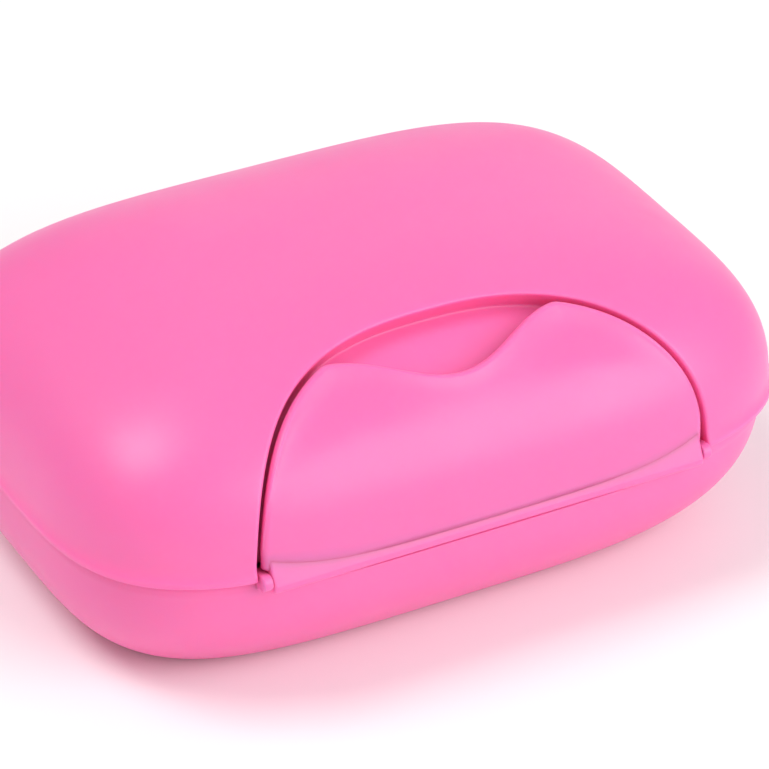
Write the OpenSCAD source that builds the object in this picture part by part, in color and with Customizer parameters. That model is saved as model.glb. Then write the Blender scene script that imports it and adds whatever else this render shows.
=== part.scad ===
// Travel soap box: a pebble-shaped case of two moulded halves. The lid swings up at the
// back, and an arched latch hinged on the front rim of the base wraps over the lid.
// Millimetres. X runs along the case, -Y is the front, +Z is up. The origin is the
// centre of the flat face that the case rests on.

/* [Case] */
// Length of the case, without the lid's flared rim
case_l = 113; // [100:1:130]
// Width of the case, front to back, without the hinge
case_w = 80.8; // [72:0.2:96]
// Height of the base, from the table to the parting plane
base_h = 21.5; // [18:0.5:26]
// Height of the lid above the parting plane
lid_h = 24.5; // [21:0.5:30]
// Squareness of the outline seen from above, where 2 is an ellipse
plan_power = 4; // [3:0.1:5]
// Squareness of the lid's long section
lid_power_x = 2.8; // [2.2:0.1:3.4]
// Squareness of the lid's cross section
lid_power_y = 2.5; // [2.2:0.1:3]
// Squareness of the base's long section
base_power_x = 2.65; // [2.2:0.05:3.2]
// Squareness of the base's cross section
base_power_y = 2.05; // [1.8:0.05:2.6]
// Depth at which the base's sides would meet if it had no flat bottom
base_full_depth = 30; // [28:0.5:40]
// Rounding between the base's side and its flat bottom
foot_r = 1.5; // [0.6:0.1:2.5]
// Thickness of the moulded walls
wall = 1.8; // [1.4:0.1:2.2]

/* [Rim and seal] */
// Gap between the lid and the base at the parting plane
part_gap = 0.3; // [0.2:0.05:0.5]
// How far the base is set in under the lid
base_step = 0.8; // [0.4:0.1:1.2]
// Chamfer along the edges of both rims
rim_edge = 0.4; // [0.2:0.05:0.5]
// How far the lid's rim flares out
rim_flare = 0.5; // [0.1:0.1:1]
// Height over which the rim flares
rim_flare_h = 3; // [1.5:0.1:5]
// Width of the sealing flange, measured in from the outline
flange_w = 7; // [6.6:0.1:8.5]
// Thickness of the lid's flange
lid_flange_t = 2; // [1.6:0.1:3]
// Thickness of the base's flange
base_flange_t = 3.4; // [3:0.1:4.5]
// Slant of each flange's inner edge, from its lip up or down to the wall
flange_slant = 1; // [0.5:0.1:1.2]
// Distance of the seal groove from the outline
seal_in = 4.6; // [4.2:0.1:4.9]
// Width of the seal groove
seal_groove_w = 1.6; // [1.2:0.1:1.8]
// Depth of the seal groove
seal_groove_d = 1.2; // [0.8:0.1:1.6]
// Height that the seal stands out of its groove
seal_proud = 0.15; // [0.05:0.05:0.2]
// Clearance on each side of the seal in its groove
seal_side_gap = 0.1; // [0.05:0.05:0.2]
// Chamfer along the top edges of the seal
seal_edge = 0.3; // [0.1:0.05:0.4]

/* [Latch] */
// Width of the lid's arched recess at the parting plane
arch_w = 71.2; // [60:0.2:80]
// Angle round the lid's section at which the arch ends
arch_top = 64.7; // [58:0.1:70]
// Power of the arch's outline across
arch_power_x = 2.4; // [2:0.1:3.5]
// Gap between the latch and the arch at the sides
latch_side_gap = 0.8; // [0.4:0.1:1.2]
// Gap between the latch's lobes and the arch at the top, as an angle
latch_top_gap = 1.2; // [0.6:0.1:3]
// Angle round the section at the bottom of the finger notch
notch_low = 45.8; // [40:0.2:52]
// Angle round the section at the tips of the two lobes
notch_high = 57.4; // [54:0.2:60]
// Distance between the tips of the two lobes
notch_w = 35; // [24:0.5:42]
// Thickness of the latch
latch_t = 1.6; // [1.2:0.1:2]
// Angle round the section at which the latch's skin leaves the hinge bead
latch_low = 2.4; // [1.6:0.2:4]
// Height of the flared lip along the latch's top edge
lip_h = 0.5; // [0:0.1:0.9]
// Depth of the hollow under each lobe
hollow_d = 0.6; // [0:0.1:0.9]
// Width of each hollow, to either side of its middle
hollow_w = 7; // [4:0.5:9]
// Depth of the recess behind the latch at the front
recess_front = 4; // [3.4:0.1:4.2]
// Depth of the recess behind the latch at the top
recess_top = 3; // [2.8:0.1:3.6]
// Thickness of the recess's own wall
recess_wall = 1.6; // [1.2:0.1:2]
// Tilt of the recess's side walls from level
recess_tilt = 60; // [50:1:70]

/* [Latch hinge] */
// Depth of the latch's axis behind the front of the case
latch_axis_in = 1.0; // [0.8:0.1:1.4]
// Height of the latch's axis above the parting plane
latch_axis_up = 0.4; // [0:0.1:0.8]
// Length of the hinge bead
bead_l = 67.8; // [56:0.2:68]
// How far the bead's lower edge stands out of the front of the case
bead_proud = 0.5; // [0.2:0.1:0.8]
// Height of the bead's lower edge above the parting plane
bead_edge_up = 0.1; // [-0.3:0.1:0.4]
// Slope of the bead's upper face from level
bead_slope = 60; // [52:1:68]
// Length of the bead's upper face
bead_face = 4.4; // [3.5:0.1:5]
// Radius of the bead's round underside
bead_r = 1.8; // [1.6:0.05:2]
// Running room round the bead in the base's rim
bead_room = 0.7; // [0.5:0.05:0.9]
// Diameter of the latch pin
latch_pin_d = 1.2; // [1:0.1:1.4]
// Radius of each lug's eye
lug_r = 1.15; // [1:0.05:1.3]
// Thickness of each lug
lug_t = 1.25; // [1:0.05:1.4]
// Gap between a lug and the bead
lug_gap = 0.15; // [0.1:0.05:0.3]
// Distance from the latch's axis to the back of each lug's root
lug_root = 3.4; // [3:0.1:4]
// Depth to which each lug's root runs down the rim
lug_root_d = 2.5; // [1.5:0.1:3]

/* [Lid hinge] */
// Distance of the lid's axis behind the back of the case
hinge_out = 2.6; // [2.3:0.1:3.2]
// Radius of the hinge knuckles
knuckle_r = 2.2; // [1.8:0.1:2.4]
// Diameter of the hinge pins
hinge_pin_d = 2; // [1.6:0.1:2.4]
// Distance of each hinge from the middle
hinge_x = 24; // [16:1:30]
// Length of the lid's knuckle
lid_knuckle_l = 8; // [5:0.5:12]
// Length of each of the base's two knuckles beside it
base_knuckle_l = 5; // [3:0.5:7]
// Gap between neighbouring knuckles
knuckle_gap = 0.2; // [0.1:0.05:0.4]
// Room round the base's knuckles in the lid's rim
knuckle_room = 0.3; // [0.2:0.05:0.5]
// Radial clearance of every pin in its bore
pin_clear = 0.05; // [0.02:0.01:0.1]

/* [Drain tray] */
// Height of the posts that carry the tray, from the table
tray_z = 7.5; // [6:0.5:10]
// Thickness of the tray
tray_t = 1.6; // [1.2:0.1:2.4]
// Clearance between the tray and the flange that it lifts out through
tray_clear = 0.6; // [0.4:0.1:1.5]
// Height of the tray's rim
tray_rim_h = 1.4; // [0:0.1:2.5]
// Width of the tray's rim
tray_rim_w = 1.6; // [1:0.1:3]
// Number of drain slots
slot_n = 9; // [5:1:11]
// Width of each slot
slot_w = 3; // [2:0.5:3.5]
// Length of the middle slot
slot_l = 44; // [30:1:48]
// Distance between the slots
slot_pitch = 9; // [7:0.5:9]
// Diameter of the posts
post_d = 5; // [3:0.5:7]
// Distance of the posts from the middle, along the case
post_x = 31.5; // [20:0.5:35]
// Distance of the posts from the middle, across the case
post_y = 17; // [10:0.5:20]

/* [Hidden] */

plan_steps = 64;
half_l = case_l / 2;
half_w = case_w / 2;
base_half_l = half_l - base_step;
base_half_w = half_w - base_step;
lid_z = base_h + part_gap;
latch_axis = [-(half_w - latch_axis_in), base_h + latch_axis_up];
lid_axis = [half_w + hinge_out, base_h];
// Depth by which a piece's own features run into each other
sink = 0.5;
// Shares of the latch's height taken by its lip and by the hollows under its lobes
lip_share = 0.07;
hollow_share = 0.16;

case_pink = [1, 0.42, 0.68];
seal_white = [0.93, 0.93, 0.92];
tray_white = [0.97, 0.93, 0.95];
steel = [0.75, 0.76, 0.78];

// Quarter of a superellipse: the share left of one half axis at share t of the other
function rest(t, n) = pow(max(0, 1 - pow(min(t, 1), n)), 1 / n);

// Outline of half length a and half width b at height z
function ring(a, b, z) = [for (i = [0 : plan_steps - 1]) let (t = 360 * i / plan_steps)
    [a * sign(cos(t)) * pow(abs(cos(t)), 2 / plan_power),
     b * sign(sin(t)) * pow(abs(sin(t)), 2 / plan_power), z]];

// Half length and half width of the lid, or a shell inside it, at height h above the parting plane
function lid_at(h, a, b, top) = [a * rest(h / top, lid_power_x), b * rest(h / top, lid_power_y),
                                 base_h + h];
// The same for the base at depth d below the parting plane
function base_at(d, a, b, full) = [a * rest(d / full, base_power_x), b * rest(d / full, base_power_y),
                                   base_h - d];

// Solid through rings of equal length, closed flat at both ends
module loft(rings) {
    n = len(rings[0]);
    m = len(rings);
    points = [for (r = rings) each r];
    sides = [for (j = [0 : m - 2], i = [0 : n - 1]) let (k = (i + 1) % n)
        each [[j * n + i, j * n + k, (j + 1) * n + k], [j * n + i, (j + 1) * n + k, (j + 1) * n + i]]];
    ends = [[for (i = [n - 1 : -1 : 0]) i], [for (i = [0 : n - 1]) (m - 1) * n + i]];
    polyhedron(points, [for (f = concat(sides, ends)) [for (i = [len(f) - 1 : -1 : 0]) f[i]]]);
}

// Solid through rings whose last joins the first
module loop_loft(rings) {
    n = len(rings[0]);
    m = len(rings);
    points = [for (r = rings) each r];
    sides = [for (j = [0 : m - 1], i = [0 : n - 1]) let (k = (i + 1) % n, l = (j + 1) % m)
        each [[j * n + i, j * n + k, l * n + k], [j * n + i, l * n + k, l * n + i]]];
    polyhedron(points, [for (f = sides) [for (i = [len(f) - 1 : -1 : 0]) f[i]]]);
}

module sweep_round(path) loft([for (p = path) ring(p[0], p[1], p[2])]);

// Levels of a dome from its rim to just short of its top, closer together towards the top
function dome(steps, from, top) = [for (k = [0 : steps])
    let (h = top * pow(sin(89 * k / steps), 0.8)) if (h > from) h];

// Solid of the lid's form, drawn in by side_in at the sides and top_in at the top
module lid_core(side_in, top_in, steps = 10) {
    sweep_round(concat(
        [lid_at(part_gap, half_l - side_in, half_w - side_in, lid_h - top_in)],
        [for (h = dome(steps, part_gap + sink, lid_h - top_in))
            lid_at(h, half_l - side_in, half_w - side_in, lid_h - top_in)]));
}

// Point on the front of the lid's form at x, where angle runs from 0 at the rim to 90 at the top
function skin(x, angle, side_in = 0, top_in = 0) =
    let (top = lid_h - top_in, h = top * pow(sin(angle), 2 / lid_power_y),
         s = lid_at(h, half_l - side_in, half_w - side_in, top))
    [x, -s[1] * rest(abs(x) / s[0], plan_power), base_h + h];

// Angle at which the arch of half width w and top angle a stands at x
function arch_angle(x, w, a) = a * sqrt(max(0, 1 - pow(abs(x) / w, arch_power_x)));
// Points across an arch, closer together at its ends
function across(w, steps) = [for (i = [-steps : steps]) w * sin(90 * i / steps)];

// Prism through the arch, with walls that lean back by the recess's tilt
module arch_prism(grow) {
    w = arch_w / 2 + grow;
    turn = 90 - recess_tilt;
    low = -half_w;
    edge = [for (x = across(w, 16))
        let (p = skin(x, arch_angle(x, w, arch_top + grow * 2)))
        [x, p[1] * cos(turn) + (p[2] - base_h) * sin(turn)]];
    translate([0, 0, base_h]) rotate([turn, 0, 0])
        linear_extrude(height = 3 * half_w, center = true)
            polygon(concat(edge, [[w, 2 * low], [-w, 2 * low]]));
}

// Bar along X whose section lies in the Y-Z plane
module bar(x0, x1, section) {
    translate([x0, 0, 0]) rotate([90, 0, 90]) linear_extrude(height = x1 - x0) polygon(section);
}

module rod(x0, x1, at, r) {
    translate([x0, at[0], at[1]]) rotate([0, 90, 0]) cylinder(h = x1 - x0, r = r, $fn = 48);
}

// Spans along X of the knuckles at the hinge on one side
function lid_span(side) = [side * hinge_x - lid_knuckle_l / 2, side * hinge_x + lid_knuckle_l / 2];
function base_span(side, end) =
    let (near = side * hinge_x + end * (lid_knuckle_l / 2 + knuckle_gap), far = near + end * base_knuckle_l)
    [min(near, far), max(near, far)];

// Straight run of one hinge pin, or of its bore when it is grown
module pin_run(side, grow = 0, longer = 0) {
    reach = lid_knuckle_l / 2 + knuckle_gap + base_knuckle_l + longer;
    rod(side * hinge_x - reach, side * hinge_x + reach, lid_axis, hinge_pin_d / 2 + grow);
}

// Hinge knuckle with the web that carries it; up is 1 on the lid and -1 on the base
module knuckle(span, wall_y, wall_z, up) {
    rod(span[0], span[1], lid_axis, knuckle_r);
    bar(span[0], span[1], [[wall_y, wall_z], [lid_axis[0], lid_axis[1]],
                           [lid_axis[0], lid_axis[1] + up * knuckle_r],
                           [wall_y, wall_z + up * knuckle_r * 1.45]]);
}

module base_shell() {
    inner_l = base_half_l - wall;
    inner_w = base_half_w - wall;
    inner_full = base_full_depth - wall;
    floor_d = base_h - wall;
    groove_l = half_l - seal_in;
    groove_w = half_w - seal_in;
    lip_l = half_l - flange_w;
    lip_w = half_w - flange_w;
    under = base_flange_t;
    foot = [for (t = [90, 60, 30])
        let (p = base_at(base_h - foot_r * (1 - sin(t)), base_half_l, base_half_w, base_full_depth),
             c = foot_r * (1 - cos(t)))
        [p[0] - c, p[1] - c, p[2]]];
    outer = [for (k = [6 : -1 : 1])
        base_at((base_h - foot_r) * k / 6, base_half_l, base_half_w, base_full_depth)];
    inner = [for (k = [0 : 6]) base_at(under + (floor_d - under) * k / 6, inner_l, inner_w, inner_full)];
    color(case_pink) difference() {
        union() {
            sweep_round(concat(
                foot, outer,
                [[base_half_l, base_half_w, base_h - rim_edge],
                 [base_half_l - rim_edge, base_half_w - rim_edge, base_h],
                 [groove_l, groove_w, base_h],
                 [groove_l, groove_w, base_h - seal_groove_d],
                 [groove_l - seal_groove_w, groove_w - seal_groove_w, base_h - seal_groove_d],
                 [groove_l - seal_groove_w, groove_w - seal_groove_w, base_h],
                 [lip_l, lip_w, base_h],
                 [lip_l, lip_w, base_h - under + flange_slant]],
                inner));
            for (sx = [-1, 1], sy = [-1, 1])
                translate([sx * post_x, sy * post_y, wall - sink])
                    cylinder(h = tray_z - wall + sink, d = post_d, $fn = 32);
            for (side = [-1, 1], end = [-1, 1])
                knuckle(base_span(side, end), base_half_w - wall / 2, base_h - knuckle_gap, -1);
            for (side = [-1, 1]) lug(side);
        }
        rod(-bead_l / 2 - lug_gap, bead_l / 2 + lug_gap, latch_axis, bead_r + bead_room);
        for (side = [-1, 1]) pin_run(side, pin_clear, sink);
        rod(-half_l, half_l, latch_axis, latch_pin_d / 2 + pin_clear);
    }
}

// Lug beside one end of the hinge bead, which holds that end of the latch pin
module lug(side) {
    near = bead_l / 2 + lug_gap;
    x0 = side > 0 ? near : -near - lug_t;
    back = latch_axis[0] + lug_root;
    rod(x0, x0 + lug_t, latch_axis, lug_r);
    bar(x0, x0 + lug_t, [[latch_axis[0], latch_axis[1] - lug_r], [back, base_h - lug_root_d],
                         [back, base_h], [back - lug_r / 2, latch_axis[1] + lug_r / 2],
                         [latch_axis[0], latch_axis[1] + lug_r]]);
}

module lid_shell() {
    inner_l = half_l - wall;
    inner_w = half_w - wall;
    inner_h = lid_h - wall;
    above = part_gap + lid_flange_t;
    inner_levels = dome(8, above + sink, inner_h);
    inner = [for (k = [len(inner_levels) - 1 : -1 : 0]) lid_at(inner_levels[k], inner_l, inner_w, inner_h)];
    flare = [for (k = [0 : 4])
        let (h = part_gap + rim_edge + rim_flare_h * k / 4, p = lid_at(h, half_l, half_w, lid_h),
             f = rim_flare * pow(1 - k / 4, 2))
        [p[0] + f, p[1] + f, p[2]]];
    outer = [for (h = dome(13, part_gap + rim_flare_h + 1, lid_h)) lid_at(h, half_l, half_w, lid_h)];
    color(case_pink) difference() {
        union() {
            sweep_round(concat(
                inner,
                [lid_at(above, inner_l, inner_w, inner_h),
                 [half_l - flange_w, half_w - flange_w, base_h + above - flange_slant],
                 [half_l - flange_w, half_w - flange_w, lid_z],
                 [half_l + rim_flare - rim_edge, half_w + rim_flare - rim_edge, lid_z]],
                flare, outer));
            difference() {
                intersection() {
                    lid_core(wall / 2, wall / 2);
                    arch_prism(recess_wall);
                }
                lid_core(recess_front + recess_wall, recess_top + recess_wall);
            }
            for (side = [-1, 1]) knuckle(lid_span(side), half_w - wall / 2, lid_z, 1);
        }
        difference() {
            arch_prism(0);
            lid_core(recess_front, recess_top);
        }
        for (side = [-1, 1], end = [-1, 1])
            let (s = base_span(side, end))
            rod(s[0] - knuckle_gap, s[1] + knuckle_gap, lid_axis, knuckle_r + knuckle_room);
        for (side = [-1, 1]) pin_run(side, pin_clear, sink);
    }
}

// Angle of the latch's top edge at x: the finger notch between two lobes, inside the arch
function latch_edge(x) =
    let (w = arch_w / 2 - latch_side_gap,
         arch = arch_angle(x, w, arch_top - latch_top_gap),
         wave = notch_low + (notch_high - notch_low) * (1 - cos(180 * min(1, abs(x) / (notch_w / 2)))) / 2)
    min(arch, abs(x) < notch_w / 2 ? wave : 90);

// Height of the latch's outer face over the lid's form, at share t of the way up the column at x
function latch_lift(x, t) =
    let (lobe = exp(-pow((abs(x) - notch_w / 2) / hollow_w, 2)))
    lip_h * exp(-pow((1 - t) / lip_share, 2))
        - hollow_d * lobe * exp(-pow((1 - hollow_share - t) / (0.8 * hollow_share), 2));

module latch_flap() {
    w = arch_w / 2 - latch_side_gap;
    columns = across(w * 0.999, 18);
    rows = [for (k = [0 : 14]) sin(90 * k / 14)];
    outer = [for (x = columns) let (e = max(latch_edge(x), 2 * latch_low))
        [for (t = rows) let (d = latch_lift(x, t)) skin(x, latch_low + (e - latch_low) * t, -d, -d)]];
    inner = [for (x = columns) let (e = max(latch_edge(x), 2 * latch_low))
        [for (t = rows) skin(x, latch_low + (e - latch_low) * t, latch_t, latch_t)]];
    rings = [for (i = [0 : len(columns) - 1])
        concat(outer[i], [for (k = [len(rows) - 1 : -1 : 0]) inner[i][k]])];
    edge = [-(half_w + bead_proud), base_h + bead_edge_up];
    face_top = edge + bead_face * [cos(bead_slope), sin(bead_slope)];
    half = bead_r / 2;
    color(case_pink) difference() {
        union() {
            loft([for (r = rings) [for (k = [len(r) - 1 : -1 : 0]) r[k]]]);
            bar(-bead_l / 2, bead_l / 2, [edge, edge - [0, half], latch_axis - [0, half],
                latch_axis + [half, 0], face_top + [half, 0], face_top]);
            difference() {
                rod(-bead_l / 2, bead_l / 2, latch_axis, bead_r);
                bar(-bead_l / 2 - sink, bead_l / 2 + sink, [edge - [0, bead_face], edge, face_top,
                    face_top + [0, bead_face], edge + [-bead_face, bead_face],
                    edge - [bead_face, bead_face]]);
            }
        }
        rod(-half_l, half_l, latch_axis, latch_pin_d / 2 + pin_clear);
    }
}

module latch_pin() {
    reach = bead_l / 2 + lug_gap + lug_t;
    color(steel) rod(-reach, reach, latch_axis, latch_pin_d / 2);
}

module hinge_pin_left() color(steel) pin_run(-1);
module hinge_pin_right() color(steel) pin_run(1);

module seal_ring() {
    outer_l = half_l - seal_in - seal_side_gap;
    outer_w = half_w - seal_in - seal_side_gap;
    width = seal_groove_w - 2 * seal_side_gap;
    low = base_h - seal_groove_d;
    high = base_h + seal_proud;
    color(seal_white) loop_loft([for (p = [[0, low], [0, high - seal_edge], [seal_edge, high],
                                           [width - seal_edge, high], [width, high - seal_edge],
                                           [width, low]])
        ring(outer_l - p[0], outer_w - p[0], p[1])]);
}

module drain_tray() {
    a = half_l - flange_w - tray_clear;
    b = half_w - flange_w - tray_clear;
    color(tray_white) translate([0, 0, tray_z]) difference() {
        union() {
            linear_extrude(height = tray_t) polygon([for (p = ring(a, b, 0)) [p[0], p[1]]]);
            linear_extrude(height = tray_t + tray_rim_h) difference() {
                polygon([for (p = ring(a, b, 0)) [p[0], p[1]]]);
                polygon([for (p = ring(a - tray_rim_w, b - tray_rim_w, 0)) [p[0], p[1]]]);
            }
        }
        for (i = [-(slot_n - 1) / 2 : (slot_n - 1) / 2]) {
            x = i * slot_pitch;
            l = slot_l * rest(abs(x) / a, 3);
            translate([x, 0, -sink]) linear_extrude(height = tray_t + 2 * sink) {
                square([slot_w, l - slot_w], center = true);
                for (s = [-1, 1]) translate([0, s * (l - slot_w) / 2]) circle(d = slot_w, $fn = 24);
            }
        }
    }
}

base_shell();
lid_shell();
latch_flap();
latch_pin();
hinge_pin_left();
hinge_pin_right();
seal_ring();
drain_tray();
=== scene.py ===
# %% [markdown]
# # A travel soap box
# A pebble-shaped case of bright pink plastic: a base, a lid that is hinged at the back, and an arched
# latch that lies in a recess of the lid and swings down about a straight bead on the base's rim.
# The imported model is loaded first and fixes where everything is. The finishes come next, then the
# three mouldings as finer meshes with rounded edges, then the seal, the tray and the pins. The studio
# and the camera close the file.

# %% Load the fixed frame
import bmesh
import bpy
import math
import numpy as np
from mathutils import Matrix, Vector


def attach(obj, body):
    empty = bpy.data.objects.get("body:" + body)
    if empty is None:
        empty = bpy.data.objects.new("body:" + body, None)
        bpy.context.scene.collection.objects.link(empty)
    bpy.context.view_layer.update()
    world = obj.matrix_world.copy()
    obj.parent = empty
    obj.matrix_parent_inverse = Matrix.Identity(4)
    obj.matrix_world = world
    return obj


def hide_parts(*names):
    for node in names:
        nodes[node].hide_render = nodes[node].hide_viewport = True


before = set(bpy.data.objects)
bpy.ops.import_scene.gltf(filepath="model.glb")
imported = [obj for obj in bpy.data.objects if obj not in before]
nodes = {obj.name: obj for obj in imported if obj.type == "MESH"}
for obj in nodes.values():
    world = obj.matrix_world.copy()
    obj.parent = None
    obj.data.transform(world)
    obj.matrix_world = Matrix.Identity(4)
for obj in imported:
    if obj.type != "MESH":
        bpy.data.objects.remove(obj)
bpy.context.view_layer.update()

# %% [markdown]
# ## The sizes
# All lengths are in millimetres while a mesh is worked out, because a moulder thinks of this case
# that way, and become metres when the mesh is made. The parting plane is where lid and base meet.

# %% Sizes of the case
half_l, half_w = 56.5, 40.4         # the lid's outline at the rim
base_h, lid_h = 21.5, 24.5          # heights below and above the parting plane
plan_power = 4.0
lid_powers, base_powers = (2.8, 2.5), (2.65, 2.05)
base_depth = 30.0                   # where the base's sides would meet under its flat bottom
base_l, base_w = half_l - 0.8, half_w - 0.8
wall, part_gap, flange_w = 1.8, 0.3, 7.0
rim_flare = 0.5                     # how far the lid's lower rim stands out
foot_r = 1.5                        # rounding round the base's flat bottom
recess_front, recess_top, recess_wall = 4.0, 3.0, 1.6  # how far its floor is drawn in, and its wall
arch_w, arch_top = 35.6, 65.4       # half width of the recess, and its top as an angle
arch_power = 2.6
latch_y, latch_z = -39.4, 21.9      # the latch's axis
hinge_y, hinge_z = 43.0, 21.5       # the lid's axis

# %% [markdown]
# ## The pebble's rule
# Seen from above, from the front and from the side, the case is a superellipse: a curve between an
# ellipse and a rectangle. One power for each view gives the whole skin, so a point on it needs only a
# direction in plan and a height. A sculpted mesh could get close, but a rule keeps lid, recess and
# latch exactly in step.

# %% The curves of the skin
def rest(share, power):
    """The share left of one half axis at this share of the other."""
    return (1 - np.clip(share, 0, 1) ** power) ** (1 / power)


def plan(turn):
    """Unit outline seen from above, at these turns in radians."""
    c, s = np.cos(turn), np.sin(turn)
    return (np.sign(c) * np.abs(c) ** (2 / plan_power), np.sign(s) * np.abs(s) ** (2 / plan_power))


def even_turns(count):
    """Turns that lie evenly along the outline, starting at the front's middle."""
    dense = np.linspace(-math.pi / 2, 1.5 * math.pi, 40001)
    x, y = plan(dense)
    step = np.hypot(np.diff(x * half_l), np.diff(y * half_w))
    along = np.concatenate([[0], np.cumsum(step)])
    return np.interp(np.arange(count) / count * along[-1], along, dense)


def turn_of(x, y, a, b):
    """Turn at which the outline of half axes a and b is met on the way out to x, y."""
    half = plan_power / 2
    return np.arctan2(np.sign(y) * np.abs(y / b) ** half, np.sign(x) * np.abs(x / a) ** half)


def flare(height):
    """How far the lid's lower rim stands out at this height over the parting plane."""
    up = np.clip((height - part_gap - 0.9) / 2.2, 0, 1)
    foot = np.clip((height - part_gap) / 0.4, 0, 1)
    return rim_flare * (1 - up) ** 2.4 - 0.35 * (1 - np.sqrt(1 - (1 - foot) ** 2))


def lid_point(turn, height, side_in=0.0, top_in=0.0, rim=1.0):
    """Point of the lid's skin, or of a form drawn in from it, with or without the flare of its rim."""
    top = lid_h - top_in
    x, y = plan(turn)
    out = rim * flare(height)
    return np.stack([(out + (half_l - side_in) * rest(height / top, lid_powers[0])) * x,
                     (out + (half_w - side_in) * rest(height / top, lid_powers[1])) * y,
                     base_h + height + 0 * x], -1)


def skin(x, angle, side_in=0.0, top_in=0.0, rim=1.0):
    """Front of the lid's form at x, where the angle runs from 0 at the rim to 90 at the top."""
    top = lid_h - top_in
    height = top * np.sin(np.radians(angle)) ** (2 / lid_powers[1])
    out = rim * flare(height)
    a = out + (half_l - side_in) * rest(height / top, lid_powers[0])
    b = out + (half_w - side_in) * rest(height / top, lid_powers[1])
    return np.stack([x + 0 * height, -b * rest(np.abs(x) / a, plan_power), base_h + height], -1)


print("skin over the middle of the latch:", skin(np.array([0.0]), np.array([46.0])).round(2))

# %% [markdown]
# ## Meshes from grids
# Each moulding is a set of rows of points, joined by quads. One helper joins rows into a sheet or a
# tube, and another merges the sheets' shared edges, shades the piece smooth and hangs it on its body.
# Edges are rounded in the rows themselves, so no bevel has to guess at them.

# %% Helpers that make meshes
def sheet(rows, closed=False):
    """Quads between rows of points; closed joins each row's last point to its first."""
    rows = [np.asarray(r, float) for r in rows]
    n = len(rows[0])
    points = np.concatenate(rows)
    i = np.arange(n if closed else n - 1)
    k = (i + 1) % n
    quads = []
    for j in range(len(rows) - 1):
        quads.append(np.stack([j * n + i, j * n + k, (j + 1) * n + k, (j + 1) * n + i], -1))
    return points, np.concatenate(quads)


def place_piece(name, mesh, body, replaces, merge, crisp_over=None):
    """Puts a finished mesh on its body: shared edges merged, shaded smooth, crisp over an angle."""
    bm = bmesh.new()
    bm.from_mesh(mesh)
    bmesh.ops.remove_doubles(bm, verts=bm.verts, dist=merge)
    bmesh.ops.dissolve_degenerate(bm, edges=bm.edges, dist=1e-7)
    bmesh.ops.recalc_face_normals(bm, faces=bm.faces)
    open_edges = sum(1 for e in bm.edges if len(e.link_faces) != 2)
    bm.to_mesh(mesh)
    bm.free()
    mesh.polygons.foreach_set("use_smooth", [True] * len(mesh.polygons))
    if crisp_over:
        mesh.set_sharp_from_angle(angle=math.radians(crisp_over))
    piece = bpy.data.objects.new(name, mesh)
    bpy.context.scene.collection.objects.link(piece)
    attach(piece, body)
    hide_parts(replaces)
    print(f"{name}: {len(mesh.vertices)} points, {len(mesh.polygons)} faces, {open_edges} open edges")


def moulding(name, sheets, material, body, replaces):
    """One piece from several sheets of points in millimetres."""
    points, faces, start = [], [], 0
    for p, f in sheets:
        points.append(p)
        faces += (f + start).tolist()
        start += len(p)
    mesh = bpy.data.meshes.new(name)
    mesh.from_pydata((np.concatenate(points) / 1000).tolist(), [], faces)
    mesh.materials.append(material)
    place_piece(name, mesh, body, replaces, 4e-6)


def fan(ring, centre):
    """Closes a ring with triangles to one point."""
    n = len(ring)
    i = np.arange(n)
    return np.concatenate([ring, [centre]]), np.stack([i, (i + 1) % n, np.full(n, n)], -1)


def bend(a, corner, b, steps=4):
    """Points round a corner, from a to b, without its two ends."""
    return [(1 - t) ** 2 * a + 2 * t * (1 - t) * corner + t ** 2 * b
            for t in np.linspace(0, 1, steps + 2)[1:-1]]


def run(line):
    """Length along a line at each of its points."""
    return np.concatenate([[0], np.cumsum(np.linalg.norm(np.diff(line, axis=0), axis=1))])


def resample(line, shares):
    """Points at these shares of a line's length."""
    along = run(line)
    along /= along[-1]
    return np.stack([np.interp(shares, along, line[:, k]) for k in range(line.shape[1])], -1)


# %% [markdown]
# ## Finishes
# The case is a bright pink plastic with a satin sheen. A moulding is never quite even: its gloss
# varies a little where the steel of the tool was polished, the skin has a very fine texture, and
# fingers leave faint marks. These come from noise on the piece's own coordinates. Light goes a little
# way into such plastic, so its gaps and corners stay pink, and the shader lets it in.

# %% The pink plastic
def new_material(name):
    """A material with its nodes, its links and its shader."""
    material = bpy.data.materials.new(name)
    material.use_nodes = True
    nodes_, links = material.node_tree.nodes, material.node_tree.links
    return material, nodes_, links, nodes_["Principled BSDF"]


def feed(node, **values):
    """Sets a node's inputs by name, with an underscore for a space."""
    for key, value in values.items():
        node.inputs[key.replace("_", " ")].default_value = value


def noise(nodes_, links, coords, scale, detail, rough=0.5):
    """Noise on the piece's own coordinates."""
    node = nodes_.new("ShaderNodeTexNoise")
    feed(node, Scale=scale, Detail=detail, Roughness=rough)
    links.new(coords.outputs["Object"], node.inputs["Vector"])
    return node


def ranged(nodes_, links, source, low, high, out_low, out_high):
    """A value carried from one range to another."""
    node = nodes_.new("ShaderNodeMapRange")
    feed(node, From_Min=low, From_Max=high, To_Min=out_low, To_Max=out_high)
    links.new(source, node.inputs["Value"])
    return node.outputs["Result"]


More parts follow.
